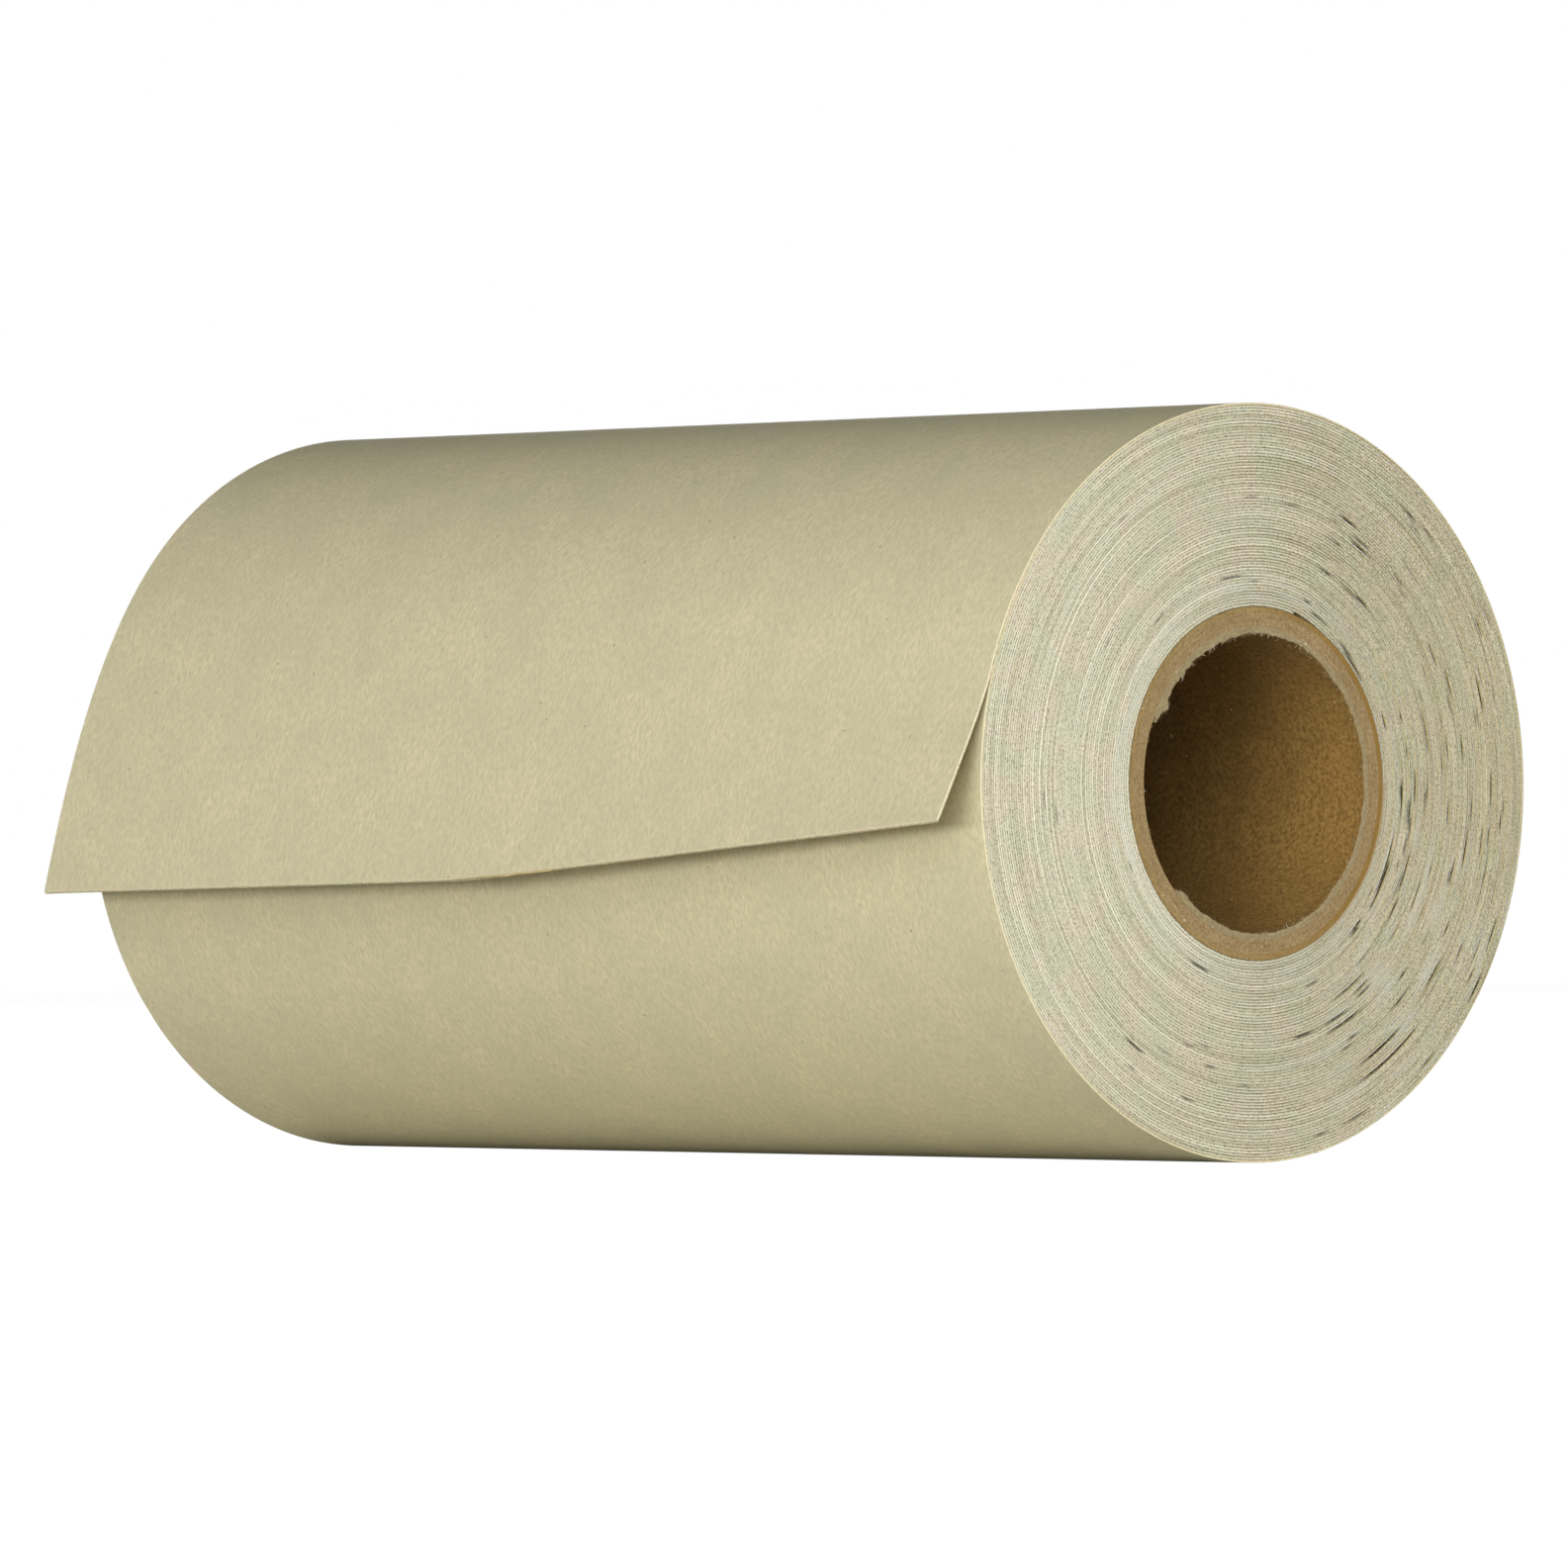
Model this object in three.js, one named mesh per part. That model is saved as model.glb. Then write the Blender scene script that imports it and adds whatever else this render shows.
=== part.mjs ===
// A roll of masking tape: a wide paper strip wound on a spiral-wound board core.
// The strip's free end, the leader, lifts off the front of the roll and can be peeled back.
//
// Millimetres. +X runs along the roll's axis, -Y is the side the leader hangs on, +Z is up.
// The origin is on the surface the roll lies on, below the middle of its axis.
// Angles round the roll are in degrees: 0 faces the front (-Y), 90 faces up. The strip runs
// outwards as the angle falls: over the top, down the front, under and up the back.

import * as THREE from 'three';

// strip
const STRIP_WIDTH = 115;
const STRIP_THICKNESS = 0.235;
const LAYERS = 68;
const START_ANGLE = 107;
const LEADER_ANGLE = 37.5;
const WEDGE_ANGLE = 15;

// roll and core
const ROLL_RADIUS = 31.8;
const BORE_RADIUS = 12.7;
const PLY_THICKNESSES = [0.4, 0.55, 0.55, 0.41];
const PLY_GAP = 0.04;
const PLY_LEAD = 85;
const PLY_SEAM_GAP = 0.35;
const PLY_SEAM_ANGLES = [20, 140, 255, 75];
const PLY_TIP_WIDTH = 1;

// flat sides that stand in for round ones
const TURN_STEP = 15;
const CORE_STEP = 7.5;
const RING_GAP = 0.03;

// leader: its section at the left end and at the right end of the roll
const LEFT_END = { leaves: 37.5, hangs: 9.45, easing: 17.0 };
const RIGHT_END = { leaves: 17.9, hangs: 28.4, easing: 3.0 };
const FREE_EDGE = { left: 30.5, middle: 29.65, right: 25.1 };
const MIDDLE_HINGE = 8.29;
const TIP_HINGE = 17.5;
const HINGE_GAP = 0.6;
const LEADER_LIFT = 0.05;
const LEADER_COLUMNS = 12;
const LEADER_STEP = 0.25;

const CORE_RADIUS = BORE_RADIUS
  + PLY_THICKNESSES.reduce((sum, ply) => sum + ply, 0)
  + PLY_GAP * PLY_THICKNESSES.length;
const WOUND_TURNS = LAYERS - 1 + (START_ANGLE - LEADER_ANGLE) / 360;
const PITCH = (ROLL_RADIUS - CORE_RADIUS) / (WOUND_TURNS + 1);
const REST_CORNER = -90 - TURN_STEP / 2;
const AXIS_HEIGHT = lastTurnRadius(REST_CORNER + 360 - LEADER_ANGLE);

const radians = THREE.MathUtils.degToRad;
const mix = THREE.MathUtils.lerp;

const paper = { color: 0xc9c19d, roughness: 0.85, metalness: 0 };
const paperEdge = { color: 0xbdb898, roughness: 0.95, metalness: 0 };
const kraftBoard = { color: 0x9a7a4c, roughness: 0.95, metalness: 0 };
const greyBoard = { color: 0xa8987a, roughness: 0.95, metalness: 0 };

// Outside radius of the last turn, so many degrees back along the strip from the leader.
function lastTurnRadius(degreesBack) {
  return ROLL_RADIUS - PITCH * degreesBack / 360;
}

// A point in the roll's cross-section.
function atAngle(radius, degrees) {
  const y = -radius * Math.cos(radians(degrees));
  const z = AXIS_HEIGHT + radius * Math.sin(radians(degrees));
  return new THREE.Vector2(y, z);
}

// Distance from the axis to a flat side that touches the circle, where sides are step apart.
function flatSided(radius, degrees, step) {
  const fromMiddle = degrees - step * Math.round(degrees / step);
  return radius / Math.cos(radians(fromMiddle));
}

// Angles from first to last, with every corner of the flat sides between them.
function cornersBetween(first, last, step) {
  const angles = [first];
  let corner = (Math.ceil(first / step - 0.5) + 0.5) * step;
  if (corner - first < 1e-6) {
    corner += step;
  }
  while (corner < last - 1e-6) {
    angles.push(corner);
    corner += step;
  }
  angles.push(last);
  return angles;
}

// An outline in the cross-section: radiusAt(degrees past first) along flat sides.
function outline(first, last, step, radiusAt) {
  return cornersBetween(first, last, step).map((angle) => (
    atAngle(flatSided(radiusAt(angle - first), angle, step), angle)
  ));
}

// A cross-section carried along the whole width of the strip.
function alongRoll(shape) {
  const geometry = new THREE.ExtrudeGeometry(shape, { depth: STRIP_WIDTH, bevelEnabled: false });
  const turned = new THREE.Matrix4().makeBasis(
    new THREE.Vector3(0, 1, 0),
    new THREE.Vector3(0, 0, 1),
    new THREE.Vector3(1, 0, 0),
  );
  geometry.applyMatrix4(turned);
  geometry.translate(-STRIP_WIDTH / 2, 0, 0);
  return geometry;
}

// A closed skin over rings of four corners: each ring is [p0, p1, p2, p3] as Vector3.
function skinOver(rings) {
  const positions = rings.flat().flatMap((point) => point.toArray());
  const indices = [];
  const quad = (a, b, c, d) => indices.push(a, b, c, a, c, d);
  for (let ring = 0; ring < rings.length - 1; ring += 1) {
    for (let side = 0; side < 4; side += 1) {
      const next = (side + 1) % 4;
      const here = ring * 4;
      quad(here + side, here + next, here + 4 + next, here + 4 + side);
    }
  }
  const end = (rings.length - 1) * 4;
  quad(3, 2, 1, 0);
  quad(end, end + 1, end + 2, end + 3);
  const geometry = new THREE.BufferGeometry();
  geometry.setAttribute('position', new THREE.Float32BufferAttribute(positions, 3));
  geometry.setIndex(indices);
  geometry.computeVertexNormals();
  return geometry;
}

// One ply of the core: a ribbon of board wound as a helix, its edges almost meeting,
// trimmed square at both ends of the core.
function corePly(innerRadius, thickness, seamAngle) {
  const end = STRIP_WIDTH / 2;
  const width = PLY_LEAD - PLY_SEAM_GAP;
  const leadingEdge = (turned) => -end + PLY_LEAD * turned / 360;
  const first = 360 * PLY_TIP_WIDTH / PLY_LEAD;
  const last = 360 * (STRIP_WIDTH + width - PLY_TIP_WIDTH) / PLY_LEAD;
  const trims = [360 * STRIP_WIDTH / PLY_LEAD, 360 * width / PLY_LEAD];
  const corners = cornersBetween(seamAngle + first, seamAngle + last, CORE_STEP);
  const stops = corners.map((angle) => angle - seamAngle).concat(trims);
  stops.sort((a, b) => a - b);
  const apart = stops.filter((stop, i) => i === 0 || stop - stops[i - 1] > 0.01);
  const rings = apart.map((turned) => {
    const high = Math.min(end, leadingEdge(turned));
    const low = Math.max(-end, leadingEdge(turned) - width);
    const angle = seamAngle + turned;
    const inner = atAngle(flatSided(innerRadius, angle, CORE_STEP), angle);
    const outer = atAngle(flatSided(innerRadius + thickness, angle, CORE_STEP), angle);
    return [
      new THREE.Vector3(low, inner.x, inner.y),
      new THREE.Vector3(low, outer.x, outer.y),
      new THREE.Vector3(high, outer.x, outer.y),
      new THREE.Vector3(high, inner.x, inner.y),
    ];
  });
  return skinOver(rings);
}

// All the turns but the last, pressed into one ring. Its outside is a spiral with one step,
// where the strip goes on into the last turn. Its hole has a thin wedge where the second
// turn climbs over the strip's starting edge.
function woundTurns() {
  const outer = outline(LEADER_ANGLE, LEADER_ANGLE + 360, CORE_STEP, (back) => (
    lastTurnRadius(back + 360) - RING_GAP
  ));
  const hole = outline(START_ANGLE, START_ANGLE + 360, CORE_STEP, (before) => (
    CORE_RADIUS + RING_GAP + PITCH * Math.max(0, 1 - before / WEDGE_ANGLE)
  ));
  const shape = new THREE.Shape(outer);
  shape.holes.push(new THREE.Path(hole.reverse()));
  return alongRoll(shape);
}

// The last whole turn, at the strip's true thickness, up to the leader's root.
function outerTurn() {
  const gap = THREE.MathUtils.radToDeg(HINGE_GAP / 2 / ROLL_RADIUS);
  const first = LEADER_ANGLE + gap;
  const last = LEADER_ANGLE + 360 - gap;
  const outer = outline(first, last, TURN_STEP, lastTurnRadius);
  const inner = outline(first, last, TURN_STEP, (back) => lastTurnRadius(back) - STRIP_THICKNESS);
  return alongRoll(new THREE.Shape(outer.concat(inner.reverse())));
}

// The leader's section at x: points down its length, each with the direction it heads in.
// It first lies on the roll, then straightens towards the slope it hangs at.
function leaderSection(x) {
  const share = x / STRIP_WIDTH + 0.5;
  const leaves = mix(LEFT_END.leaves, RIGHT_END.leaves, share);
  const hangs = mix(LEFT_END.hangs, RIGHT_END.hangs, share);
  const easing = mix(LEFT_END.easing, RIGHT_END.easing, share);
  const radius = ROLL_RADIUS - STRIP_THICKNESS / 2;
  const lying = radius * radians(LEADER_ANGLE - leaves);
  const slopeAt = (down) => (down < lying
    ? LEADER_ANGLE - THREE.MathUtils.radToDeg(down / radius)
    : hangs + (leaves - hangs) * Math.exp((lying - down) / easing));
  const point = atAngle(radius, LEADER_ANGLE);
  const section = [{ point: point.clone(), slope: LEADER_ANGLE }];
  for (let down = LEADER_STEP; down <= FREE_EDGE.left + LEADER_STEP; down += LEADER_STEP) {
    const slope = radians(slopeAt(down - LEADER_STEP / 2));
    point.x -= LEADER_STEP * Math.sin(slope);
    point.y -= LEADER_STEP * Math.cos(slope);
    section.push({ point: point.clone(), slope: slopeAt(down) });
  }
  return section;
}

// The middle of the leader's thickness at one place, lifted clear of the flat sides below it.
function leaderPoint(section, down) {
  const step = Math.min(Math.floor(down / LEADER_STEP), section.length - 2);
  const part = down / LEADER_STEP - step;
  const point = section[step].point.clone().lerp(section[step + 1].point, part);
  const slope = mix(section[step].slope, section[step + 1].slope, part);
  const angle = THREE.MathUtils.radToDeg(Math.atan2(point.y - AXIS_HEIGHT, -point.x));
  const clear = flatSided(ROLL_RADIUS + LEADER_LIFT, angle, TURN_STEP) - STRIP_THICKNESS / 2;
  const radius = Math.max(clear, Math.hypot(point.x, point.y - AXIS_HEIGHT));
  return { point: atAngle(radius, angle), slope };
}

// Length of the leader at x: two straight cuts that meet in the middle of the free edge.
function freeEdge(x) {
  const share = Math.abs(x) / (STRIP_WIDTH / 2);
  return mix(FREE_EDGE.middle, x < 0 ? FREE_EDGE.left : FREE_EDGE.right, share);
}

// One stretch of the leader, from one distance down its length to another.
function leaderStretch(from, to, rows) {
  const positions = [];
  for (let column = 0; column <= LEADER_COLUMNS; column += 1) {
    const x = mix(-STRIP_WIDTH / 2, STRIP_WIDTH / 2, column / LEADER_COLUMNS);
    const section = leaderSection(x);
    for (let row = 0; row <= rows; row += 1) {
      const { point, slope } = leaderPoint(section, mix(from, to(x), row / rows));
      const outward = new THREE.Vector2(-Math.cos(radians(slope)), Math.sin(radians(slope)));
      for (const side of [-0.5, 0.5]) {
        const skin = point.clone().addScaledVector(outward, side * STRIP_THICKNESS);
        positions.push(x, skin.x, skin.y);
      }
    }
  }
  return closedSheet(positions, LEADER_COLUMNS, rows);
}

// Triangles of a thin sheet whose points run column by column, under side then upper side.
function closedSheet(positions, columns, rows) {
  const indices = [];
  const quad = (a, b, c, d) => indices.push(a, b, c, a, c, d);
  const under = (column, row) => (column * (rows + 1) + row) * 2;
  const upper = (column, row) => under(column, row) + 1;
  for (let c = 0; c < columns; c += 1) {
    for (let r = 0; r < rows; r += 1) {
      quad(under(c, r), under(c + 1, r), under(c + 1, r + 1), under(c, r + 1));
      quad(upper(c, r), upper(c, r + 1), upper(c + 1, r + 1), upper(c + 1, r));
    }
    quad(under(c, 0), upper(c, 0), upper(c + 1, 0), under(c + 1, 0));
    quad(under(c, rows), under(c + 1, rows), upper(c + 1, rows), upper(c, rows));
  }
  for (let r = 0; r < rows; r += 1) {
    quad(under(0, r), under(0, r + 1), upper(0, r + 1), upper(0, r));
    quad(under(columns, r), upper(columns, r), upper(columns, r + 1), under(columns, r + 1));
  }
  const geometry = new THREE.BufferGeometry();
  geometry.setAttribute('position', new THREE.Float32BufferAttribute(positions, 3));
  geometry.setIndex(indices);
  geometry.computeVertexNormals();
  return geometry;
}

function part(name, geometry, finish) {
  const mesh = new THREE.Mesh(geometry, new THREE.MeshStandardMaterial(finish));
  mesh.name = name;
  return mesh;
}

function core() {
  const names = ['core_inner_ply', 'core_body_ply_1', 'core_body_ply_2', 'core_outer_ply'];
  const finishes = [kraftBoard, greyBoard, greyBoard, kraftBoard];
  const group = new THREE.Group();
  let radius = BORE_RADIUS;
  names.forEach((name, i) => {
    const geometry = corePly(radius, PLY_THICKNESSES[i], PLY_SEAM_ANGLES[i]);
    group.add(part(name, geometry, finishes[i]));
    radius += PLY_THICKNESSES[i] + PLY_GAP;
  });
  return group;
}

function strip() {
  const group = new THREE.Group();
  const half = HINGE_GAP / 2;
  const middle = () => MIDDLE_HINGE - half;
  const tip = () => TIP_HINGE - half;
  group.add(part('wound_turns', woundTurns(), paperEdge));
  group.add(part('outer_turn', outerTurn(), paper));
  group.add(part('leader_root', leaderStretch(half, middle, 5), paper));
  group.add(part('leader_middle', leaderStretch(MIDDLE_HINGE + half, tip, 6), paper));
  group.add(part('leader_tip', leaderStretch(TIP_HINGE + half, freeEdge, 8), paper));
  return group;
}

const roll = new THREE.Group();
roll.add(core());
roll.add(strip());

export default roll;
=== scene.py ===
"""Masking tape roll: a wide paper strip on a spiral-wound board core, its free end lifting off."""

import bpy
import math
import random
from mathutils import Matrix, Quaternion, Vector
from mathutils.noise import noise


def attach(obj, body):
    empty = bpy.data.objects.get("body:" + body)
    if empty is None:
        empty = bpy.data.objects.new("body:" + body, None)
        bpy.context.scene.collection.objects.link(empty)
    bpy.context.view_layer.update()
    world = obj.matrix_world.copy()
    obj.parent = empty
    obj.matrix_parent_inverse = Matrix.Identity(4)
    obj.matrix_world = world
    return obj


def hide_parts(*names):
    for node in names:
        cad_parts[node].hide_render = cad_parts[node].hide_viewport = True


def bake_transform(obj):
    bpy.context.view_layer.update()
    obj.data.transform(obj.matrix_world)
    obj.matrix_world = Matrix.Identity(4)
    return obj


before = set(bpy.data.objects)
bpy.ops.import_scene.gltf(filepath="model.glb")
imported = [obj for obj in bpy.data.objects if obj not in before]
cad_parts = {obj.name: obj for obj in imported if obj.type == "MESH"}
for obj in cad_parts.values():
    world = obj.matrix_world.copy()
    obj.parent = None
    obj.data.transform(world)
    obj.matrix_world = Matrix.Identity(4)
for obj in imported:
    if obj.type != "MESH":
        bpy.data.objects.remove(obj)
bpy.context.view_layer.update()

MM = 0.001
END = 57.5
AXIS = 31.6439
BORE = 12.7
LEAD = 85.0
SEAM_GAP = 0.06


def linear(colour):
    """An sRGB hex colour as linear red, green, blue and alpha."""
    shares = [int(colour[i : i + 2], 16) / 255 for i in (1, 3, 5)]
    return [s / 12.92 if s <= 0.04045 else ((s + 0.055) / 1.055) ** 2.4 for s in shares] + [1.0]


def add(tree, kind, links=None, **settings):
    """Adds a node to a tree; links gives each socket a value or the output that feeds it."""
    new = tree.nodes.new("ShaderNode" + kind)
    for name, value in settings.items():
        setattr(new, name, value)
    for socket, value in (links or {}).items():
        if isinstance(value, bpy.types.NodeSocket):
            tree.links.new(value, new.inputs[socket])
        else:
            new.inputs[socket].default_value = value
    return new


def finish_named(name, **shader):
    """A material with a Principled shader set to these values; returns it, its tree and shader."""
    finish = bpy.data.materials.new(name)
    finish.use_nodes = True
    tree = finish.node_tree
    tree.nodes.clear()
    principled = add(tree, "BsdfPrincipled", {k.replace("_", " "): v for k, v in shader.items()})
    add(tree, "OutputMaterial", {"Surface": principled.outputs[0]})
    return finish, tree, principled


def piece(name, points, faces, finishes, face_finish=None, **stored):
    """A mesh piece from points in millimetres, with sharp folds and values stored at its points."""
    mesh = bpy.data.meshes.new(name)
    mesh.from_pydata([(x * MM, y * MM, z * MM) for x, y, z in points], [], faces)
    for finish in finishes:
        mesh.materials.append(finish)
    if face_finish:
        mesh.polygons.foreach_set("material_index", face_finish)
    mesh.polygons.foreach_set("use_smooth", [True] * len(mesh.polygons))
    mesh.set_sharp_from_angle(angle=math.radians(28))
    for key, values in stored.items():
        layer = mesh.attributes.new(key, "FLOAT_VECTOR", "POINT")
        layer.data.foreach_set("vector", [number for value in values for number in value])
    made = bpy.data.objects.new(name, mesh)
    bpy.context.collection.objects.link(made)
    return made


def on_roll(x, radius, degrees):
    """The point at x, so far from the axis: 0 degrees faces the front and 90 faces up."""
    turn = math.radians(degrees)
    return (x, -radius * math.cos(turn), AXIS + radius * math.sin(turn))


def skinned(rings):
    """Quads round and between closed rings of equal length, with a cap at each end."""
    count = len(rings[0])
    points = [point for ring in rings for point in ring]
    faces = []
    for here in range(len(rings) - 1):
        a, b = here * count, (here + 1) * count
        for i in range(count):
            j = (i + 1) % count
            faces.append((a + i, a + j, b + j, b + i))
    last = (len(rings) - 1) * count
    faces.append(tuple(reversed(range(count))))
    faces.append(tuple(range(last, last + count)))
    return points, faces


def ply(name, inner, outer, seam, finishes, columns=240, ragged=None):
    """One ply of the core: a ribbon closed to a tube but for its helical seam."""
    stations = [0.0, 0.12, 0.3, 0.6, 1.1, 2.0]
    stations = [-END + 0.06 + s for s in stations] + [
        -END + 5 + 105 * i / 20 for i in range(21)
    ] + [END - 0.06 - s for s in reversed(stations)]
    gap = math.degrees(SEAM_GAP / inner)
    rings, flat = [], []
    for column in range(columns + 1):
        ring_in, ring_out = [], []
        for x in stations:
            turned = gap / 2 + (360 - gap) * column / columns
            angle = seam + 360 * (x + END) / LEAD + turned
            lip, retreat = ragged(x, angle) if ragged else (0.0, 0.0)
            wear = 0.03 * noise(Vector((x * 3, math.cos(math.radians(angle)) * 40, angle / 9)))
            at = math.copysign(abs(x) - retreat, x)
            worn = wear if abs(x) > END - 1 else 0.0
            ring_in.append(on_roll(at, inner - lip + worn * 0.5, angle))
            ring_out.append(on_roll(at + worn, outer, angle))
        rings.append(ring_in + ring_out[::-1])
        twist = [math.radians(seam + 360 * (x + END) / LEAD + turned) * BORE for x in stations]
        flat += [(s, x, inner) for s, x in zip(twist, stations)]
        flat += [(s, x, outer) for s, x in zip(twist[::-1], stations[::-1])]
    points, faces = skinned(rings)
    around = len(stations)
    kinds = []
    for i in range(len(faces) - 2):
        side = i % (2 * around)
        kinds.append(1 if side in (around - 1, 2 * around - 1) else 0)
    kinds += [0, 0]
    return piece(name, points, faces, finishes, kinds, flat=flat)


def board(name, face, speck, shadow, grain_mm=0.55, bump_mm=0.05, laminate=0.0, soaked=None):
    """Pressed recycled fibre: blotches, a fibrous grain and pale specks over one board colour.
    laminate draws the grain out along the ply, and soaked is its colour at the back, where
    glue has wetted it."""
    finish, tree, shader = finish_named(name, IOR=1.45)
    where = add(tree, "TexCoord").outputs["Object"]
    blotch = add(tree, "TexNoise", {"Vector": where, "Scale": 1 / (4.5 * MM), "Detail": 3.0})
    run = add(tree, "Attribute", attribute_name="flat").outputs["Vector"]
    drawn = add(tree, "Mapping", {"Vector": run, "Scale": (1 / 2.5, 1 / 0.5, 1 / 0.14)})
    layers = add(tree, "TexNoise", {"Vector": drawn.outputs[0], "Scale": 1.0, "Detail": 4.0})
    even = add(
        tree, "TexNoise",
        {"Vector": where, "Scale": 1 / (grain_mm * MM), "Detail": 5.0, "Roughness": 0.66},
    )
    grain = add(tree, "Mix", {0: laminate, 2: even.outputs[0], 3: layers.outputs[0]})
    patch = add(
        tree, "MapRange",
        {"Value": blotch.outputs[0], "From Min": 0.34, "From Max": 0.66, "To Min": 0.7},
    )
    fibre = add(
        tree, "MapRange", {"Value": grain.outputs[0], "From Min": 0.38, "From Max": 0.62},
    )
    base = add(
        tree, "Mix", {0: patch.outputs[0], 6: linear(shadow), 7: linear(face)}, data_type="RGBA",
    )
    toned = add(
        tree, "Mix",
        {0: fibre.outputs[0], 6: linear(shadow), 7: base.outputs[2]}, data_type="RGBA",
    )
    flecks = add(tree, "TexVoronoi", {"Vector": where, "Scale": 1 / (1.4 * MM)})
    some = add(tree, "SeparateColor", {0: flecks.outputs["Color"]})
    size = add(tree, "MapRange", {"Value": some.outputs[0], "From Min": 0.6, "To Max": 0.12})
    gone = add(
        tree, "Math", {0: size.outputs[0], 1: flecks.outputs["Distance"]}, operation="SUBTRACT",
    )
    fleck = add(tree, "MapRange", {"Value": gone.outputs[0], "From Max": 0.03})
    pale = add(
        tree, "Mix",
        {0: fleck.outputs[0], 6: toned.outputs[2], 7: linear(speck)}, data_type="RGBA",
    )
    if soaked:
        back = add(tree, "SeparateXYZ", {0: where}).outputs[1]
        wet = add(
            tree, "MapRange",
            {"Value": back, "From Min": -2 * MM, "From Max": 11 * MM, "To Max": 0.85},
        )
        pale = add(
            tree, "Mix",
            {0: wet.outputs[0], 6: pale.outputs[2], 7: linear(soaked)}, data_type="RGBA",
        )
    tree.links.new(pale.outputs[2], shader.inputs["Base Color"])
    rough = add(
        tree, "MapRange", {"Value": grain.outputs[0], "To Min": 0.98, "To Max": 0.78},
    )
    tree.links.new(rough.outputs[0], shader.inputs["Roughness"])
    relief = add(
        tree, "Bump", {"Height": grain.outputs[0], "Distance": bump_mm * MM, "Strength": 0.9},
    )
    tree.links.new(relief.outputs[0], shader.inputs["Normal"])
    return finish


# recycled grey board: dull, soft brown-grey, with the mixed fibres of pulped paper in it
grey_board = board("recycled_grey_board", "#a08c64", "#b9a987", "#86714c")
# the same board where the knife has cut it: paler, and rough with fibre ends
cut_board = board("knife_cut_board", "#c2a779", "#d9c8a2", "#8a7248", 0.28, 0.24, 0.35)

for name, inner, outer, seam in (
    ("core_body_ply_inner", BORE + 0.42, BORE + 0.99, 140),
    ("core_body_ply_outer", BORE + 1.0, BORE + 1.57, 255),
):
    body_ply = ply(name, inner, outer, seam, [grey_board, cut_board])
    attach(body_ply, "roll")
    cad_name = "core_body_ply_1" if name.endswith("inner") else "core_body_ply_2"
    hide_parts(cad_name)


# Core outer ply: a thinner kraft ribbon glued over the body plies, which the strip starts on.
# Glue has soaked into its cut end, so it is the warmest and darkest brown of the four.
kraft_outer = board("glued_kraft_ply", "#a58a5a", "#bda476", "#8a7044")
cut_kraft = board(
    "glue_darkened_cut_kraft", "#bfa26c", "#ccb384", "#8d7444", 0.28, 0.22, 0.35, "#997533",
)

outer_ply = ply(
    "core_outer_ply_kraft", BORE + 1.58, BORE + 2.05, 75, [kraft_outer, cut_kraft],
)
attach(outer_ply, "roll")
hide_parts("core_outer_ply")


# Core inner ply: the kraft liner of the bore. The trimming knife has bent its edge inwards
# and torn it: there is a ragged lip all round, one tab, and a stretch where it has come away.
TAB_ANGLE = 31
TORN_FROM, TORN_TO = -46, 25

kraft_liner = board("kraft_bore_liner", "#b18a48", "#d6bd8a", "#7e602b", 0.36, 0.08)
torn_kraft = board("torn_pale_kraft", "#bcaa82", "#d8cbaa", "#93805a", 0.25, 0.2, 0.3)


def torn_edge(x, angle):
    """How far the liner's lip stands into the bore, and how far its end has torn back."""
    depth = END - abs(x)
    here = (angle + 180) % 360 - 180
    side = 0 if x > 0 else 57
    around = Vector((math.cos(math.radians(angle)) * 3, math.sin(math.radians(angle)) * 3, side))
    coarse = 0.5 + noise(around * 2.1)
    fine = 0.5 + 0.9 * noise(around * 11)
    burr = max(0.0, 0.03 + 0.11 * coarse + 0.13 * fine)
    fray = math.exp(-(((here - 62) / 34) ** 2)) if x > 0 else 0.3
    burr += 0.12 * fray * max(0.0, fine)
    torn = 0.0
    if x > 0:
        burr += 0.52 * math.exp(-(((here - TAB_ANGLE) / 2.1) ** 2))
        inside = min(here - TORN_FROM, TORN_TO - here)
        torn = min(1.0, max(0.0, inside / 5)) * (1.5 + 0.7 * fine)
    lip = burr * math.exp(-((depth / 0.75) ** 2)) * (1 - 0.85 * min(1.0, torn))
    return lip, torn * math.exp(-((depth / 4.0) ** 2))


inner_ply = ply(
    "core_inner_ply_liner", BORE, BORE + 0.41, 20, [kraft_liner, torn_kraft], 480, torn_edge,
)
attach(inner_ply, "roll")
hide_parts("core_inner_ply")


# Torn fibres: loose paper fibres that stand out of the liner's ragged lip at both ends.
# They are part of the liner, drawn up to twice as thick as real fibres so that they show.
strands = random.Random(11)


def fibre(points, faces, start, way, length, thick, curl, steps=4):
    """Adds one tapering, curling three-sided fibre to these points and faces."""
    way, here = Vector(way).normalized(), Vector(start)
    side = way.orthogonal().normalized()
    first = len(points)
    for step in range(steps + 1):
        width = thick * (1 - 0.8 * step / steps)
        across = way.cross(side).normalized()
        for corner in range(3):
            turn = math.tau * corner / 3
            offset = side * math.cos(turn) + across * math.sin(turn)
            x, y, z = here + offset * width
            points.append((max(-END, min(END, x)), y, z))
        way = (way + side * curl[0] + across * curl[1]).normalized()
        here = here + way * length / steps
    for step in range(steps):
        low = first + 3 * step
        for corner in range(3):
            other = (corner + 1) % 3
            faces.append((low + corner, low + other, low + 3 + other, low + 3 + corner))
    faces.append((first + 2, first + 1, first))
    top = first + 3 * steps
    faces.append((top, top + 1, top + 2))


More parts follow.
